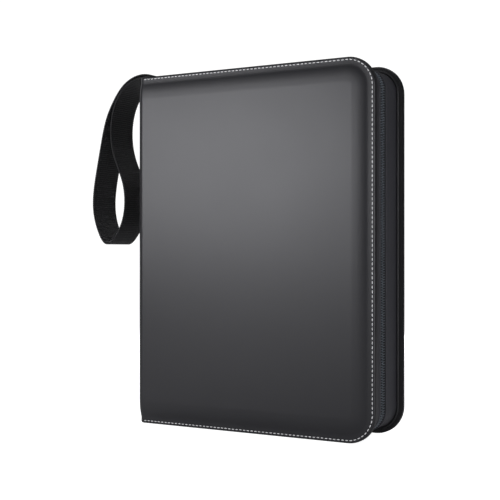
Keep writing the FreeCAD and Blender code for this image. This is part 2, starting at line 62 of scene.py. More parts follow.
# %% [markdown]
# ## Sizes read from the frame
# Nothing is measured twice. The covers' outline comes from the skins, the gusset's place from its wall,
# and the zip's middle from the gap between the two rows of teeth. The corner's radius is written here,
# because a box doesn't tell it.

# %% Sizes
skin_low, skin_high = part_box("front_cover_skin")
back_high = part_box("back_cover_skin")[1]
spine_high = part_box("spine_skin")[1]
HEIGHT = skin_high.z
FORE_EDGE = skin_high.x
DEPTH_HALF = back_high.y
SPINE_HALF = spine_high.x
THICKNESS = skin_high.y - skin_low.y
COVER_INNER = DEPTH_HALF - THICKNESS
CORNER = 28 * MM
RIM_LEVEL = DEPTH_HALF - 0.6 * MM
CROWN = 1.8 * MM
MID_HEIGHT = HEIGHT / 2
print("cover %.0f x %.0f mm, binder %.0f mm deep" % (FORE_EDGE / MM, HEIGHT / MM, DEPTH_HALF * 2 / MM))

# %% [markdown]
# ## Camera
# The binder is seen from the front and right, level with its middle, so its upright edges stay upright.
# The camera keeps still at that height, and a long lens keeps the perspective gentle.

# %% Camera
YAW = math.radians(30.5)
EYE = Vector((0.652, -0.922, MID_HEIGHT))
camera = bpy.data.objects.new("camera", bpy.data.cameras.new("camera"))
camera.location = EYE
camera.rotation_euler = (math.radians(90), 0, YAW)
camera.data.sensor_width = 36
camera.data.lens = 76.7
camera.data.clip_start = 0.01
scene.collection.objects.link(camera)
scene.camera = camera
print("camera at", [round(v, 3) for v in EYE])

# %% [markdown]
# ## Light and floor
# Dark satin leather shows its shape by what it mirrors. A broad soft light stands where the front cover
# mirrors it, a tall narrow one on the right draws the thin bright line along the cover's edge, and a pale
# world fills the rest. The floor and the world look almost white to the camera only: the light that they
# throw on the binder is kept low, so the leather stays black.

# %% Lights
def area_light(name, place, target, size, power):
    data = bpy.data.lights.new(name, "AREA")
    data.shape = "RECTANGLE"
    data.size, data.size_y = size
    data.energy = power
    data.color = (0.96, 0.96, 1.0)
    lamp = bpy.data.objects.new(name, data)
    lamp.location = place
    lamp.rotation_euler = (Vector(target) - Vector(place)).to_track_quat("-Z", "Y").to_euler()
    scene.collection.objects.link(lamp)


COVER_MIDDLE = Vector((FORE_EDGE / 2, -DEPTH_HALF, MID_HEIGHT))
area_light("soft_front", (-0.42, -0.95, 0.37), COVER_MIDDLE, (0.62, 0.34), 5.6)
area_light("edge_strip", (1.16, -0.83, 0.2), (FORE_EDGE, -DEPTH_HALF, MID_HEIGHT), (0.4, 0.8), 7.0)
area_light("overhead", (0.2, -0.1, 1.9), (0.13, 0, 0.2), (2.0, 2.0), 6)
area_light("soft_back", (-0.25, 1.15, 0.45), (0.1, DEPTH_HALF, MID_HEIGHT), (0.6, 0.5), 5)
area_light("soft_spine", (-1.2, 0.35, 0.5), (0, 0, MID_HEIGHT), (0.4, 0.8), 1.2)
scene.view_settings.view_transform = "Standard"
world = bpy.data.worlds.new("pale_studio")
world.use_nodes = True
backdrop = world.node_tree.nodes["Background"]
backdrop.inputs["Color"].default_value = (1, 1, 1, 1)
seen = world.node_tree.nodes.new("ShaderNodeLightPath")
strength = world.node_tree.nodes.new("ShaderNodeMapRange")
strength.inputs["To Min"].default_value = 0.09
strength.inputs["To Max"].default_value = 1.1
world.node_tree.links.new(seen.outputs["Is Camera Ray"], strength.inputs["Value"])
world.node_tree.links.new(strength.outputs["Result"], backdrop.inputs["Strength"])
scene.world = world

# %% Floor
bpy.ops.object.select_all(action="DESELECT")
bpy.ops.mesh.primitive_plane_add(size=8, location=(0.13, 0, -0.0005))
floor = bpy.context.object
floor.name = "floor"
floor_finish = bpy.data.materials.new("floor_white")
floor_finish.use_nodes = True
floor_shader = floor_finish.node_tree.nodes["Principled BSDF"]
floor_shader.inputs["Base Color"].default_value = (0.93, 0.93, 0.93, 1)
floor_shader.inputs["Roughness"].default_value = 0.9
floor_shader.inputs["Emission Color"].default_value = (1, 1, 1, 1)
floor_seen = floor_finish.node_tree.nodes.new("ShaderNodeLightPath")
floor_glow = floor_finish.node_tree.nodes.new("ShaderNodeMath")
floor_glow.operation = "MULTIPLY"
floor_glow.inputs[1].default_value = 0.95
floor_finish.node_tree.links.new(floor_seen.outputs["Is Camera Ray"], floor_glow.inputs[0])
floor_finish.node_tree.links.new(floor_glow.outputs[0], floor_shader.inputs["Emission Strength"])
floor.data.materials.append(floor_finish)

# %% [markdown]
# ## Shared surface effects
# Grain, weave and handling marks appear on several finishes, so each is a shader node group: it is built
# once and placed in each material with its own scale. A group gives only values that vary over the
# surface. Colours and numbers that stay the same are set on the shader itself.

# %% Node group helpers
def new_group(name, inputs, outputs):
    """A shader node group with float inputs (name, default) and float outputs."""
    group = bpy.data.node_groups.new(name, "ShaderNodeTree")
    for label, default in inputs:
        socket = group.interface.new_socket(label, in_out="INPUT", socket_type="NodeSocketFloat")
        socket.default_value = default
    for label in outputs:
        group.interface.new_socket(label, in_out="OUTPUT", socket_type="NodeSocketFloat")
    start = group.nodes.new("NodeGroupInput")
    end = group.nodes.new("NodeGroupOutput")
    return group, start, end


def noise(tree, vector, scale, detail=2.0, roughness=0.5):
    node = tree.nodes.new("ShaderNodeTexNoise")
    node.inputs["Detail"].default_value = detail
    node.inputs["Roughness"].default_value = roughness
    tree.links.new(vector, node.inputs["Vector"])
    if hasattr(scale, "links"):
        tree.links.new(scale, node.inputs["Scale"])
    else:
        node.inputs["Scale"].default_value = scale
    return node.outputs["Fac"]


def maths(tree, kind, first, second=0.0):
    node = tree.nodes.new("ShaderNodeMath")
    node.operation = kind
    for socket, value in zip(node.inputs, (first, second)):
        if hasattr(value, "links"):
            tree.links.new(value, socket)
        else:
            socket.default_value = value
    return node.outputs[0]


def object_coordinates(tree):
    return tree.nodes.new("ShaderNodeTexCoord").outputs["Object"]


# %% Leather grain group
def build_grain():
    """Fine pebbled grain: small cells with soft creases between them, over a slow unevenness."""
    group, start, end = new_group("leather_grain", [("Scale", 900.0)], ["Height", "Slow"])
    place = object_coordinates(group)
    cells = group.nodes.new("ShaderNodeTexVoronoi")
    cells.feature = "SMOOTH_F1"
    group.links.new(place, cells.inputs["Vector"])
    group.links.new(start.outputs["Scale"], cells.inputs["Scale"])
    fine = noise(group, place, maths(group, "MULTIPLY", start.outputs["Scale"], 1.7), 3.0)
    slow = noise(group, place, 14.0, 3.0)
    height = maths(group, "MULTIPLY_ADD", fine, 0.35)
    group.nodes[-1].inputs[2].default_value = 0.0
    group.links.new(cells.outputs["Distance"], group.nodes[-1].inputs[2])
    group.links.new(height, end.inputs["Height"])
    group.links.new(slow, end.inputs["Slow"])
    return group


# %% Weave group
def build_weave():
    """Two crossing sets of fine yarns, one along the height and one across."""
    group, start, end = new_group("weave", [("Yarns", 2200.0)], ["Height", "Slow"])
    place = object_coordinates(group)
    split = group.nodes.new("ShaderNodeSeparateXYZ")
    group.links.new(place, split.inputs["Vector"])
    flat = maths(group, "ADD", split.outputs["X"], split.outputs["Y"])
    across = maths(group, "SINE", maths(group, "MULTIPLY", flat, start.outputs["Yarns"]))
    along = maths(group, "SINE", maths(group, "MULTIPLY", split.outputs["Z"], start.outputs["Yarns"]))
    height = maths(group, "MULTIPLY", across, along)
    slow = noise(group, place, 60.0, 3.0)
    group.links.new(height, end.inputs["Height"])
    group.links.new(slow, end.inputs["Slow"])
    return group


# %% Handling marks group
def build_marks():
    """Faint cloudy smears and short scuffs that change how glossy a handled surface is."""
    group, start, end = new_group("handling_marks", [("Strength", 0.1)], ["Gloss"])
    place = object_coordinates(group)
    stretch = group.nodes.new("ShaderNodeMapping")
    stretch.inputs["Scale"].default_value = (1.0, 1.0, 0.25)
    group.links.new(place, stretch.inputs["Vector"])
    cloud = noise(group, place, 9.0, 4.0)
    scuff = noise(group, stretch.outputs["Vector"], 160.0, 2.0)
    both = maths(group, "ADD", cloud, maths(group, "MULTIPLY", scuff, 0.4))
    centred = maths(group, "SUBTRACT", both, 0.7)
    group.links.new(maths(group, "MULTIPLY", centred, start.outputs["Strength"]), end.inputs["Gloss"])
    return group


GRAIN = build_grain()
WEAVE = build_weave()
MARKS = build_marks()
print("shared effects:", GRAIN.name, WEAVE.name, MARKS.name)

# %% [markdown]
# ## Finishes
# One function makes every finish, because they differ only in their numbers: two colours that mix slowly
# over the surface, a roughness that the handling marks move a little, and a bump height from the grain or
# the weave. Metal, film and the zip's coil are smooth, so they take no bump.

# %% Finish function
def finish(name, colours, roughness, relief=None, scale=900.0, depth=0.05, marks=0.08, **uniform):
    """A material whose colour mixes between two tones; relief is a shared group or None."""
    made = bpy.data.materials.new(name)
    made.use_nodes = True
    tree = made.node_tree
    shader = tree.nodes["Principled BSDF"]
    for socket, value in uniform.items():
        shader.inputs[socket.replace("_", " ")].default_value = value
    place = object_coordinates(tree)
    mix = tree.nodes.new("ShaderNodeMix")
    mix.data_type = "RGBA"
    for socket, colour in zip((mix.inputs[6], mix.inputs[7]), colours):
        socket.default_value = (*colour, 1)
    marking = tree.nodes.new("ShaderNodeGroup")
    marking.node_tree = MARKS
    marking.inputs["Strength"].default_value = marks
    tree.links.new(maths(tree, "ADD", marking.outputs["Gloss"], roughness), shader.inputs["Roughness"])
    if relief is None:
        tree.links.new(noise(tree, place, 40.0, 3.0), mix.inputs[0])
    else:
        surface = tree.nodes.new("ShaderNodeGroup")
        surface.node_tree = relief
        surface.inputs[0].default_value = scale
        tree.links.new(surface.outputs["Slow"], mix.inputs[0])
        bump = tree.nodes.new("ShaderNodeBump")
        bump.inputs["Strength"].default_value = 1.0
        bump.inputs["Distance"].default_value = depth * MM
        tree.links.new(surface.outputs["Height"], bump.inputs["Height"])
        tree.links.new(bump.outputs["Normal"], shader.inputs["Normal"])
    tree.links.new(mix.outputs[2], shader.inputs["Base Color"])
    return made


# %% The binder's finishes
FINISHES = {
    "cover_leather": finish("cover_leather", ((0.010, 0.010, 0.012), (0.014, 0.014, 0.0165)), 0.36,
                            GRAIN, 1500.0, 0.010, 0.06),
    "gusset_leather": finish("gusset_leather", ((0.034, 0.034, 0.040), (0.048, 0.048, 0.056)), 0.55,
                             GRAIN, 1100.0, 0.030, 0.10),
    "piping": finish("piping", ((0.010, 0.010, 0.011), (0.016, 0.016, 0.018)), 0.40, GRAIN, 1500.0, 0.015),
    "lining_cloth": finish("lining_cloth", ((0.006, 0.006, 0.007), (0.011, 0.011, 0.012)), 0.85,
                           WEAVE, 5200.0, 0.04, 0.05, Sheen_Weight=0.15),
    "webbing": finish("webbing", ((0.003, 0.003, 0.004), (0.007, 0.007, 0.008)), 0.6,
                      WEAVE, 6200.0, 0.06, 0.05, Specular_IOR_Level=0.35),
    "zip_tape": finish("zip_tape", ((0.004, 0.004, 0.005), (0.008, 0.008, 0.010)), 0.85,
                       WEAVE, 7000.0, 0.05, 0.05, Sheen_Weight=0.15),
    "zip_coil": finish("zip_coil", ((0.10, 0.12, 0.14), (0.16, 0.185, 0.21)), 0.3, marks=0.1),
    "white_thread": finish("white_thread", ((0.78, 0.78, 0.78), (0.90, 0.90, 0.90)), 0.7,
                           WEAVE, 9000.0, 0.03, 0.05),
    "slider_metal": finish("slider_metal", ((0.035, 0.036, 0.038), (0.055, 0.056, 0.060)), 0.30,
                           marks=0.15, Metallic=0.85),
    "pull_leather": finish("pull_leather", ((0.030, 0.022, 0.012), (0.050, 0.036, 0.020)), 0.5,
                           GRAIN, 1300.0, 0.03),
    "ring_steel": finish("ring_steel", ((0.62, 0.63, 0.65), (0.70, 0.71, 0.73)), 0.24, marks=0.2,
                         Metallic=1.0),
    "ring_chrome": finish("ring_chrome", ((0.74, 0.75, 0.77), (0.80, 0.80, 0.82)), 0.12, marks=0.1,
                          Metallic=1.0),
    "leaf_film": finish("leaf_film", ((0.045, 0.045, 0.048), (0.060, 0.060, 0.064)), 0.38, marks=0.15),
    "pocket_film": finish("pocket_film", ((0.010, 0.010, 0.011), (0.016, 0.016, 0.017)), 0.20, marks=0.25,
                          Coat_Weight=0.5, Coat_Roughness=0.12),
    "foam": finish("foam", ((0.25, 0.25, 0.26), (0.32, 0.32, 0.33)), 0.95, GRAIN, 700.0, 0.2),
    "greyboard": finish("greyboard", ((0.26, 0.24, 0.21), (0.36, 0.34, 0.30)), 0.9, GRAIN, 500.0, 0.08),
}
print("finishes:", len(FINISHES))

# %% [markdown]
# ## Modelling helpers
# Every piece is made in edit mode. These few helpers clear the selection, pick faces or edges by where
# they are, and dress the finished piece: its finish, its body and the CAD node it
# stands for.

# %% Selecting
def make_active(piece):
    bpy.ops.object.select_all(action="DESELECT")
    piece.select_set(True)
    bpy.context.view_layer.objects.active = piece


def open_edit(piece, mode="FACE"):
    make_active(piece)
    bpy.ops.object.mode_set(mode="EDIT")
    bpy.ops.mesh.select_mode(type=mode)
    bpy.ops.mesh.select_all(action="DESELECT")


def close_edit():
    bpy.ops.object.mode_set(mode="OBJECT")


def choose(piece, kind, wanted):
    """Select the verts, edges or faces for which wanted() is true."""
    mesh = bmesh.from_edit_mesh(piece.data)
    for item in getattr(mesh, kind):
        item.select_set(False)
    for item in getattr(mesh, kind):
        if wanted(item):
            item.select_set(True)
    mesh.select_flush_mode()
    bmesh.update_edit_mesh(piece.data)


def settle(piece):
    """Put the object at the origin, unturned and unscaled, with its place in its mesh."""
    make_active(piece)
    bpy.ops.object.transform_apply(location=True, rotation=True, scale=True)


def smooth(piece, degrees=35):
    make_active(piece)
    bpy.ops.object.shade_smooth_by_angle(angle=math.radians(degrees))


def dress(piece, finish_name, body=None, nodes=()):
    """Give a piece its finish, its body and the CAD nodes that it stands for."""
    piece.data.materials.clear()
    piece.data.materials.append(FINISHES[finish_name])
    if nodes:
        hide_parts(*nodes)
    if body:
        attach(piece, body)


# %% [markdown]
# ## Padded cover panels
# A cover is board and foam wrapped in leather: a thin rim holds the stitching, and the middle stands a
# little proud with a soft shoulder. The panel is modelled at twice its width, with all four corners round,
# then cut down its middle. That leaves the spine side flat, ready to run on into the crease.

# %% Cover panel
# Each step is an inset in millimetres and the share of the crown that it rises by. Together the insets stay
# inside the corner's radius, because past it the boundary would fold over itself.
SHOULDER = [(4.5, 0.0), (2.5, 0.30), (2.5, 0.25), (3.0, 0.20), (3.5, 0.14), (4.0, 0.08), (2.0, 0.03)]
CORNER_STEPS = 16
RIM_ROUND = 1.9 * MM


def cover_panel(name, side):
    """side is -1 for the front cover and 1 for the back cover."""
    width = FORE_EDGE - SPINE_HALF
    bpy.ops.object.select_all(action="DESELECT")
    bpy.ops.mesh.primitive_plane_add(size=1, location=(SPINE_HALF, RIM_LEVEL * side, MID_HEIGHT),
                                     rotation=(math.radians(90) * -side, 0, 0))
    panel = bpy.context.object
    panel.name = name
    panel.scale = (width * 2, HEIGHT, 1)
    settle(panel)
    open_edit(panel, "VERT")
    bpy.ops.mesh.select_all(action="SELECT")
    bpy.ops.mesh.bevel(offset=CORNER, affect="VERTICES", segments=CORNER_STEPS)
    bpy.ops.mesh.select_mode(type="FACE")
    bpy.ops.mesh.select_all(action="SELECT")
    depth = RIM_LEVEL - COVER_INNER - 0.4 * MM
    bpy.ops.mesh.extrude_region_move(TRANSFORM_OT_translate={"value": (0, -depth * side, 0)})
    bpy.ops.mesh.select_all(action="SELECT")
    bpy.ops.mesh.normals_make_consistent(inside=False)
    bpy.ops.mesh.select_mode(type="EDGE")
    choose(panel, "edges", lambda e: all(abs(v.co.y - RIM_LEVEL * side) < 1e-6 for v in e.verts))
    bpy.ops.mesh.bevel(offset=RIM_ROUND, segments=4, affect="EDGES")
    bpy.ops.mesh.select_mode(type="FACE")
    choose(panel, "faces", lambda f: f.normal.y * side > 0.99 and f.calc_area() > width * HEIGHT)
    for distance, rise in SHOULDER:
        bpy.ops.mesh.inset(thickness=distance * MM, use_boundary=True)
        bpy.ops.transform.translate(value=(0, CROWN * rise * side, 0))
    bpy.ops.mesh.select_all(action="SELECT")
    bpy.ops.mesh.bisect(plane_co=(SPINE_HALF, 0, 0), plane_no=(1, 0, 0), use_fill=True, clear_inner=True)
    close_edit()
    return panel


front_panel = cover_panel("front_cover_wrap", -1)
back_panel = cover_panel("back_cover_wrap", 1)
print("cover panel:", len(front_panel.data.polygons), "faces")

# %% [markdown]
# ## Creases and spine
# The same leather runs on round the creases and over the spine. So the crease is made from the panel's own
# cut end: that face is spun a quarter turn about the crease's centre, then pushed along to make the spine.
# The spine stays rigid with its body.

# %% Crease and spine
def end_section(name, panel, is_end):
    """A copy of one end face of a piece, alone."""
    make_active(panel)
    bpy.ops.object.duplicate()
    section = bpy.context.object
    section.name = name
    open_edit(section)
    choose(section, "faces", is_end)
    bpy.ops.mesh.select_all(action="INVERT")
    bpy.ops.mesh.delete(type="FACE")
    close_edit()
    return section


def crease(name, panel, side):
    section = end_section(name, panel, lambda f: f.normal.x < -0.99)
    open_edit(section)
    bpy.ops.mesh.select_all(action="SELECT")
    bpy.ops.mesh.spin(steps=10, angle=math.radians(90) * -side,
                      center=(SPINE_HALF, COVER_INNER * side, 0), axis=(0, 0, 1))
    bpy.ops.mesh.select_all(action="SELECT")
    bpy.ops.mesh.normals_make_consistent(inside=False)
    close_edit()
    return section


front_crease = crease("front_crease", front_panel, -1)
back_crease = crease("back_crease", back_panel, 1)
spine_wrap = end_section("spine_wrap", front_crease, lambda f: f.normal.y > 0.99)
print("crease:", len(front_crease.data.polygons), "faces; spine end:", len(spine_wrap.data.polygons), "face")

# %% Spine
open_edit(spine_wrap)
bpy.ops.mesh.select_all(action="SELECT")
bpy.ops.mesh.extrude_region_move(TRANSFORM_OT_translate={"value": (0, COVER_INNER * 2, 0)})
bpy.ops.mesh.select_all(action="SELECT")
bpy.ops.mesh.normals_make_consistent(inside=False)
close_edit()
print("spine:", len(spine_wrap.data.polygons), "faces")

# %% [markdown]
# ## Hollowing the wraps
# The leather is a skin about one millimetre thick, turned over the edges and trimmed under the lining. So
# the face that lies on the lining is taken away from each panel and from the spine, and what is left is
# given a wall thickness inwards. The padding, board and lining sit inside it.

# %% Hollow panels and spine
def hollow(piece, inner_face):
    open_edit(piece)
    choose(piece, "faces", inner_face)
    bpy.ops.mesh.delete(type="FACE")
    bpy.ops.mesh.select_all(action="SELECT")
    bpy.ops.mesh.normals_make_consistent(inside=False)
    close_edit()
    wall = piece.modifiers.new("wall", "SOLIDIFY")
    wall.thickness = 0.9 * MM
    wall.offset = -1
    bpy.ops.object.modifier_apply(modifier="wall")


hollow(front_panel, lambda f: f.normal.y > 0.99 or f.normal.x < -0.99)
hollow(back_panel, lambda f: f.normal.y < -0.99 or f.normal.x < -0.99)
hollow(spine_wrap, lambda f: f.normal.x > 0.99 or abs(f.normal.y) > 0.99)
for piece, body, node in ((front_panel, "front_cover", "front_cover_skin"),
                          (back_panel, "back_cover", "back_cover_skin"),
                          (spine_wrap, "spine", "spine_skin")):
    smooth(piece, 40)
    dress(piece, "cover_leather", body=body, nodes=(node,))
for panel in (front_panel, back_panel):
    make_active(panel)
    panel.modifiers.new("even_normals", "WEIGHTED_NORMAL").keep_sharp = True
    bpy.ops.object.modifier_apply(modifier="even_normals")
for piece, body, side in ((front_crease, "front_cover", -1), (back_crease, "back_cover", 1)):
    smooth(piece, 40)
    dress(piece, "cover_leather")
    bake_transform(piece)
print("wraps:", front_panel.name, back_panel.name, spine_wrap.name)

# %% [markdown]
# ## The path round a cover
# Stitching, gusset, zip tape and teeth all run along the foot, up the fore-edge and back along the head, at
# different distances in from the outline. One function gives a place and a direction on that path.

# %% Rim path
def rim_path(inset, pitch, start_x):
    """Evenly spaced (x, z, angle) along the cover's foot, fore-edge and head, inset from the outline."""
    radius = CORNER - inset
    run = FORE_EDGE - CORNER - start_x
    rise = HEIGHT - CORNER * 2
    turn = radius * math.pi / 2
    length = run * 2 + rise + turn * 2
    count = int(length / pitch)
    spots = []
    for index in range(count):
        s = (index + 0.5) * length / count
        if s < run:
            spots.append((start_x + s, inset, 0.0))
        elif s < run + turn:
            angle = (s - run) / radius
            spots.append((FORE_EDGE - CORNER + radius * math.sin(angle),
                          CORNER - radius * math.cos(angle), angle))
        elif s < run + turn + rise:
            spots.append((FORE_EDGE - inset, CORNER + s - run - turn, math.pi / 2))
        elif s < run + turn * 2 + rise:
            angle = (s - run - turn - rise) / radius
            spots.append((FORE_EDGE - CORNER + radius * math.cos(angle),
                          HEIGHT - CORNER + radius * math.sin(angle), math.pi / 2 + angle))
        else:
            spots.append((start_x + length - s, HEIGHT - inset, math.pi))
    return spots


def repeat(source, name, matrices):
    """One piece made of copies of a modelled unit, each put in its own place."""
    copies = []
    for matrix in matrices:
        copy = source.copy()
        copy.data = source.data.copy()
        copy.data.transform(matrix)
        scene.collection.objects.link(copy)
        copies.append(copy)
    bpy.ops.object.select_all(action="DESELECT")
    for copy in copies:
        copy.select_set(True)
    bpy.context.view_layer.objects.active = copies[0]
    bpy.ops.object.join()
    joined = bpy.context.object
    joined.name = name
    return joined


def rim_matrices(inset, pitch, start_x, y, shift=0.0):
    spots = rim_path(inset, pitch, start_x + shift)
    return [Matrix.Translation((x, y, z)) @ Matrix.Rotation(-angle, 4, "Y") for x, z, angle in spots]


def discard(piece):
    bpy.data.objects.remove(piece)


# %% [markdown]
# ## White stitching
# The cover is sewn round its rim in heavy white thread. Each stitch is a short plump bar that sinks into
# the leather at both ends, so one is made from a stretched ball and repeated along the rim.

# %% Stitches
STITCH_PITCH = 4.2 * MM
STITCH_INSET = 2.8 * MM
bpy.ops.mesh.primitive_uv_sphere_add(segments=8, ring_count=6, radius=1, rotation=(0, math.radians(90), 0))
stitch = bpy.context.object
stitch.scale = (0.45 * MM, 0.45 * MM, 1.5 * MM)
settle(stitch)
for side_name, side in (("front", -1), ("back", 1)):
    places = rim_matrices(STITCH_INSET, STITCH_PITCH, SPINE_HALF + 0.2 * MM, (RIM_LEVEL + 0.05 * MM) * side)
    thread = repeat(stitch, side_name + "_rim_stitches", places)
    smooth(thread, 60)
    dress(thread, "white_thread", body=side_name + "_cover")
    print(thread.name, len(places), "stitches")
discard(stitch)

# %% [markdown]
# ## Gusset walls, piping, tapes
# Each is one long strip with a constant section. So a small section is drawn at the spine end, its corners
# are rounded, and it is pushed along the foot, turned round the corner, pushed up the fore-edge, turned
# again and pushed back along the head.

# %% Swept strips
WALL_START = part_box("front_gusset_wall")[0].x


def swept(name, y_range, insets, rounding, segments=3):
    """A strip along the rim, from the spine end and back to it, with a rounded oblong section."""
    y_low, y_high = y_range
    low, high = insets
    bpy.ops.object.select_all(action="DESELECT")
    bpy.ops.mesh.primitive_plane_add(size=1, location=(WALL_START, (y_low + y_high) / 2, (low + high) / 2),
                                     rotation=(0, math.radians(-90), 0))
    strip = bpy.context.object
    strip.name = name
    strip.scale = (high - low, y_high - y_low, 1)
    settle(strip)
    open_edit(strip, "VERT")
    bpy.ops.mesh.select_all(action="SELECT")
    bpy.ops.mesh.bevel(offset=rounding, affect="VERTICES", segments=segments)
    bpy.ops.mesh.select_mode(type="FACE")
    bpy.ops.mesh.select_all(action="SELECT")
    edge = FORE_EDGE - CORNER
    bpy.ops.mesh.extrude_region_move(TRANSFORM_OT_translate={"value": (edge - WALL_START, 0, 0)})
    bpy.ops.mesh.spin(steps=14, angle=math.radians(90), center=(edge, 0, CORNER), axis=(0, 1, 0))
    bpy.ops.mesh.extrude_region_move(TRANSFORM_OT_translate={"value": (0, 0, HEIGHT - CORNER * 2)})
    bpy.ops.mesh.spin(steps=14, angle=math.radians(90), center=(edge, 0, HEIGHT - CORNER), axis=(0, 1, 0))
    bpy.ops.mesh.extrude_region_move(TRANSFORM_OT_translate={"value": (WALL_START - edge, 0, 0)})
    bpy.ops.mesh.select_all(action="SELECT")
    bpy.ops.mesh.normals_make_consistent(inside=False)
    close_edit()
    return strip


WALL_THICK = 1.5 * MM
HEM_DEPTH = 2.2 * MM
HEM_PROUD = 0.1 * MM
HEM_OUT = 0.5 * MM
TAPE_THICK = 0.8 * MM
for side_name, side in (("front", -1), ("back", 1)):
    body = side_name + "_cover"
    low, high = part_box(side_name + "_gusset_wall")
    wall_outer, wall_inner = low.z, low.z + WALL_THICK
    wall = swept(side_name + "_gusset_cloth", (low.y, high.y), (wall_outer, wall_inner), 0.4 * MM)
    smooth(wall)
    dress(wall, "gusset_leather", body=body, nodes=(side_name + "_gusset_wall",))
    if side < 0:
        hem_y = (high.y - HEM_DEPTH, high.y + HEM_PROUD)
    else:
        hem_y = (low.y - HEM_PROUD, low.y + HEM_DEPTH)
    hem = swept(side_name + "_gusset_hem", hem_y, (wall_outer - HEM_OUT, wall_inner), 0.5 * MM)
    smooth(hem, 50)
    dress(hem, "gusset_leather", body=body)
    low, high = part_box(side_name + "_gusset_bead")
    bead = swept(side_name + "_piping", (low.y, high.y), (low.z, low.z + high.y - low.y), 1.15 * MM, 6)
    smooth(bead, 60)
    dress(bead, "piping", body=body, nodes=(side_name + "_gusset_bead",))
    low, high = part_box(side_name + "_zip_tape")
    tape = swept(side_name + "_tape", (low.y, high.y), (low.z, low.z + TAPE_THICK), 0.25 * MM, 2)
    smooth(tape)
    dress(tape, "zip_tape", body=body, nodes=(side_name + "_zip_tape",))
    print(side_name, "gusset strips:", len(wall.data.polygons), len(bead.data.polygons))

# %% [markdown]
# ## Zip teeth
# A coil zip is one nylon monofilament wound in a long spiral and sewn on each tape. From outside, every turn
# is a short rounded bar, and the bars of one side drop between the bars of the other. One bar is made from a
# rounded block and repeated. The second side is moved along by half a pitch. The front's lower row starts
# a little way out, to leave the slider room to swing past it.

# %% Teeth
TOOTH_PITCH = 2.4 * MM
front_teeth_low, front_teeth_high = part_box("front_zip_teeth")
back_teeth_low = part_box("back_zip_teeth")[0]
ZIP_MIDDLE = (front_teeth_high.y + back_teeth_low.y) / 2
TOOTH_PAST = 0.1 * MM
LOWER_ROW_START = SPINE_HALF + 33 * MM
TOOTH_REACH = ZIP_MIDDLE - front_teeth_low.y + TOOTH_PAST
bpy.ops.object.select_all(action="DESELECT")
bpy.ops.mesh.primitive_cube_add(size=1)
tooth = bpy.context.object
tooth.scale = (1.0 * MM, TOOTH_REACH, 1.3 * MM)
settle(tooth)
open_edit(tooth, "EDGE")
bpy.ops.mesh.select_all(action="SELECT")
bpy.ops.mesh.bevel(offset=0.32 * MM, segments=1, affect="EDGES")
close_edit()
for side_name, side, low, shift in (("front", -1, front_teeth_low, 0.0),
                                    ("back", 1, back_teeth_low, TOOTH_PITCH / 2)):
    inset = HEIGHT - front_teeth_high.z + 0.75 * MM
    middle = ZIP_MIDDLE + (TOOTH_REACH / 2 - TOOTH_PAST) * side
    places = rim_matrices(inset, TOOTH_PITCH, back_teeth_low.x + 0.5 * MM, middle, shift)
    if side < 0:
        places = [m for m in places if m.translation.z > MID_HEIGHT or m.translation.x > LOWER_ROW_START]
    coil = repeat(tooth, side_name + "_coil", places)
    smooth(coil, 60)
    dress(coil, "zip_coil", body=side_name + "_cover", nodes=(side_name + "_zip_teeth",))
    print(coil.name, len(places), "turns")
discard(tooth)

# %% [markdown]
# ## Carrying strap
# The strap is one length of ribbed nylon webbing. It is folded into a hanging loop, and both ends are sewn
# into the top of the spine. One rib is made from a block with rounded long edges, repeated into a straight
# tape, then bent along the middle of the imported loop.

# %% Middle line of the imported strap
def merged_copy(node, name):
    """A copy of a CAD node's mesh with its loose triangles joined up."""
    source = bpy.data.objects[node]
    copy = source.copy()
    copy.data = source.data.copy()
    copy.name = name
    scene.collection.objects.link(copy)
    copy.parent = None
    copy.matrix_world = source.matrix_world.copy()
    settle(copy)
    open_edit(copy)
    bpy.ops.mesh.select_all(action="SELECT")
    bpy.ops.mesh.remove_doubles(threshold=1e-6)
    bpy.ops.mesh.normals_make_consistent(inside=False)
    close_edit()
    return copy


def strap_line(node, count):
    """Points along the middle of the strap, from its upper end to its lower end."""
    rough = merged_copy(node, "rough_strap")
    low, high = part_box(node)
    mesh = bmesh.new()
    mesh.from_mesh(rough.data)
    rim = [e for e in mesh.edges if all(abs(v.co.y - low.y) < 1e-5 for v in e.verts)
           and any(abs(f.normal.y) < 0.5 for f in e.link_faces)]
    ends = [e for e in rim if all(v.co.x > high.x - MM / 2 for v in e.verts) and e.calc_length() > MM]
    top = max(ends, key=lambda e: e.verts[0].co.z)
    lines = []
    for start in top.verts:
        chain = [start]
        used = set(ends)
        while True:
            onward = [e for e in chain[-1].link_edges if e in rim and e not in used]
            if not onward:
                break
            used.add(onward[0])
            chain.append(onward[0].other_vert(chain[-1]))
        lines.append([v.co.copy() for v in chain])
    mesh.free()
    discard(rough)
    return [(first + second) / 2 for first, second in zip(*(evenly(line, count) for line in lines))]


def evenly(points, count):
    """Points spaced evenly along a broken line."""
    lengths = [0.0]
    for first, second in zip(points, points[1:]):
        lengths.append(lengths[-1] + (second - first).length)
    spaced, at = [], 0
    for index in range(count):
        goal = lengths[-1] * index / (count - 1)
        while at < len(points) - 2 and lengths[at + 1] < goal:
            at += 1
        share = (goal - lengths[at]) / (lengths[at + 1] - lengths[at])
        spaced.append(points[at].lerp(points[at + 1], share))
    return spaced


middle_line = strap_line("strap_loop", 240)
strap_length = sum((b - a).length for a, b in zip(middle_line, middle_line[1:]))
print("strap loop: %.0f mm of webbing" % (strap_length / MM))

# %% Webbing rib and loop
RIB_PITCH = 2.2 * MM
STRAP_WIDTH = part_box("strap_root")[1].y * 2


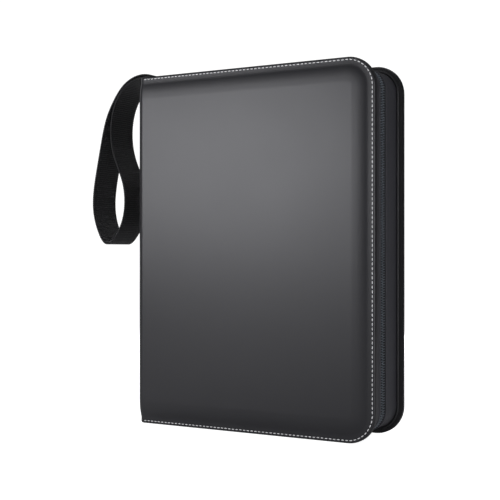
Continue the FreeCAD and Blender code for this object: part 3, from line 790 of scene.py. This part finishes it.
def webbing_tape(name, length, thickness):
    """A straight ribbed tape that starts at the origin and runs along +X."""
    ribs = max(4, round(length / RIB_PITCH))
    bpy.ops.object.select_all(action="DESELECT")
    bpy.ops.mesh.primitive_cube_add(size=1, location=(length / ribs / 2, 0, 0))
    tape = bpy.context.object
    tape.name = name
    tape.scale = (length / ribs, STRAP_WIDTH, thickness)
    settle(tape)
    open_edit(tape, "EDGE")
    choose(tape, "edges", lambda e: abs((e.verts[0].co - e.verts[1].co).y) > STRAP_WIDTH / 2)
    bpy.ops.mesh.bevel(offset=0.42 * MM, segments=2, affect="EDGES")
    bpy.ops.mesh.select_mode(type="FACE")
    choose(tape, "faces", lambda f: abs(f.normal.x) > 0.99)
    bpy.ops.mesh.delete(type="FACE")
    close_edit()
    row = tape.modifiers.new("row", "ARRAY")
    row.count = ribs
    row.use_merge_vertices = True
    row.merge_threshold = 1e-5
    bpy.ops.object.modifier_apply(modifier="row")
    open_edit(tape, "EDGE")
    bpy.ops.mesh.select_non_manifold(extend=False)
    bpy.ops.mesh.fill_holes(sides=0)
    bpy.ops.mesh.select_all(action="SELECT")
    bpy.ops.mesh.normals_make_consistent(inside=False)
    close_edit()
    return tape


loop = webbing_tape("strap_webbing", strap_length, 1.5 * MM)
guide_data = bpy.data.curves.new("strap_guide", "CURVE")
guide_data.dimensions = "2D"
guide = bpy.data.objects.new("strap_guide", guide_data)
scene.collection.objects.link(guide)
points = guide_data.splines.new("POLY").points
points.add(len(middle_line) - 1)
for point, spot in zip(points, middle_line):
    point.co = (spot.x, spot.z, 0, 1)
print("webbing:", len(loop.data.polygons), "faces")

# %% [markdown]
# The tape lies along +X. It is bent lying down, round a flat guide, so that it can't twist, and is then
# stood up with its width along Y.

# %% Bend the strap
loop.rotation_euler = (math.radians(90), 0, 0)
settle(loop)
bend = loop.modifiers.new("bend", "CURVE")
bend.object = guide
bend.deform_axis = "POS_X"
bpy.ops.object.modifier_apply(modifier="bend")
discard(guide)
loop.rotation_euler = (math.radians(90), 0, 0)
settle(loop)
smooth(loop, 40)
dress(loop, "webbing", nodes=("strap_loop",))
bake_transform(loop)
low = [min(v.co[i] for v in loop.data.vertices) / MM for i in range(3)]
high = [max(v.co[i] for v in loop.data.vertices) / MM for i in range(3)]
print("strap loop spans", [round(v) for v in low], [round(v) for v in high])

# %% Strap root
root_low, root_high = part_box("strap_root")
root = webbing_tape("strap_root_webbing", root_high.z - root_low.z, root_high.x - root_low.x)
root.rotation_euler = (0, math.radians(-90), 0)
root.location = ((root_low.x + root_high.x) / 2, 0, root_low.z)
settle(root)
smooth(root, 40)
dress(root, "webbing", body="spine", nodes=("strap_root",))
print("strap root:", len(root.data.polygons), "faces")

# %% [markdown]
# ## Metal parts and pull tab
# The slider, housing, blades, triggers and rivets are pressed or cast metal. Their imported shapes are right,
# but sheet metal never has a knife edge. Each is copied, its triangles are joined into clean faces, and its
# edges are given a small round.

# %% Softened pieces
def soften(node, name, width, finish_name, body):
    piece = merged_copy(node, name)
    open_edit(piece)
    bpy.ops.mesh.select_all(action="SELECT")
    bpy.ops.mesh.dissolve_limited(angle_limit=math.radians(1))
    close_edit()
    if width:
        edge = piece.modifiers.new("edge", "BEVEL")
        edge.width = width * MM
        edge.segments = 2
        edge.limit_method = "ANGLE"
        edge.angle_limit = math.radians(40)
        edge.use_clamp_overlap = True
        bpy.ops.object.modifier_apply(modifier="edge")
    smooth(piece, 35)
    dress(piece, finish_name, body=body, nodes=(node,))
    return piece


METAL = [
    ("zip_slider", "slider_body", 0.2, "slider_metal", "zip_slider"),
    ("pull_link", "pull_wire", 0.15, "slider_metal", "zip_pull"),
    ("pull_tab", "pull_oval", 0.4, "pull_leather", "zip_pull"),
    ("ring_housing", "housing_plate", 0.15, "ring_steel", "spine"),
    ("housing_rivets", "rivets", 0.3, "ring_steel", "spine"),
    ("upper_trigger", "upper_lever", 0.25, "ring_steel", "upper_trigger"),
    ("lower_trigger", "lower_lever", 0.25, "ring_steel", "lower_trigger"),
    ("front_blade", "front_plate", 0.15, "ring_steel", "front_rings"),
    ("back_blade", "back_plate", 0.15, "ring_steel", "back_rings"),
    ("front_half_rings", "front_ring_wires", 0.0, "ring_chrome", "front_rings"),
    ("back_half_rings", "back_ring_wires", 0.0, "ring_chrome", "back_rings"),
    ("lower_zip_end_tab", "lower_tape_tab", 0.25, "lining_cloth", "spine"),
    ("upper_zip_end_tab", "upper_tape_tab", 0.25, "lining_cloth", "spine"),
]
for node, name, width, finish_name, body in METAL:
    made = soften(node, name, width, finish_name, body)
    print(made.name, len(made.data.polygons), "faces")

# %% [markdown]
# ## Linings, board and padding
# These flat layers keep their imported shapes. Only their surfaces change: woven cloth inside, grey board and
# foam in the middle. Thin sheets like these need no rounding.

# %% Layers
for node in [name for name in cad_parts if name.endswith(("_lining", "_board", "_padding"))]:
    kind = {"lining": "lining_cloth", "board": "greyboard", "padding": "foam"}[node.rsplit("_", 1)[1]]
    layer = bpy.data.objects[node]
    layer.data.materials.clear()
    layer.data.materials.append(FINISHES[kind])
print("layers dressed")

# %% [markdown]
# ## Pocket leaves
# A leaf is a sheet of dark film with nine pockets welded to each face: three columns and three rows, and a
# punched margin for the rings. Each packed leaf is copied with its holes. One pocket panel is modelled, and
# its eighteen copies make the pockets of a leaf.

# %% One set of pockets
first_low, first_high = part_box("front_leaf_01")
LEAF_WIDTH = first_high.x - first_low.x
LEAF_HEIGHT = first_high.z - first_low.z
LEAF_THICK = first_high.y - first_low.y
MARGIN = 17 * MM
POCKET_GAP = 2.4 * MM
pocket_width = (LEAF_WIDTH - MARGIN - POCKET_GAP * 4) / 3
pocket_height = (LEAF_HEIGHT - POCKET_GAP * 4) / 3
bpy.ops.object.select_all(action="DESELECT")
bpy.ops.mesh.primitive_cube_add(size=1)
pocket = bpy.context.object
pocket.scale = (pocket_width, 0.12 * MM, pocket_height)
settle(pocket)
open_edit(pocket, "EDGE")
choose(pocket, "edges", lambda e: abs((e.verts[0].co - e.verts[1].co).y) > 0.05 * MM)
bpy.ops.mesh.bevel(offset=1.5 * MM, segments=3, affect="EDGES")
close_edit()
spots = []
for face in (-1, 1):
    for column in range(3):
        for row in range(3):
            x = MARGIN + POCKET_GAP + pocket_width / 2 + column * (pocket_width + POCKET_GAP)
            z = POCKET_GAP + pocket_height / 2 + row * (pocket_height + POCKET_GAP)
            spots.append(Matrix.Translation((x, (LEAF_THICK / 2 - 0.02 * MM) * face, z)))
pockets = repeat(pocket, "pocket_set", spots)
discard(pocket)
print("pockets: %.1f x %.1f mm" % (pocket_width / MM, pocket_height / MM))

# %% Leaves
for node in [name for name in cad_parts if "_leaf_" in name]:
    film = soften(node, node + "_film", 0.0, "leaf_film", node)
    low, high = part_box(node)
    face = pockets.copy()
    face.data = pockets.data.copy()
    face.data.transform(Matrix.Translation((low.x, (low.y + high.y) / 2, low.z)))
    face.name = node + "_pockets"
    scene.collection.objects.link(face)
    smooth(face, 40)
    dress(face, "pocket_film", body=node)
discard(pockets)
print("leaves:", len([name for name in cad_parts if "_leaf_" in name]))
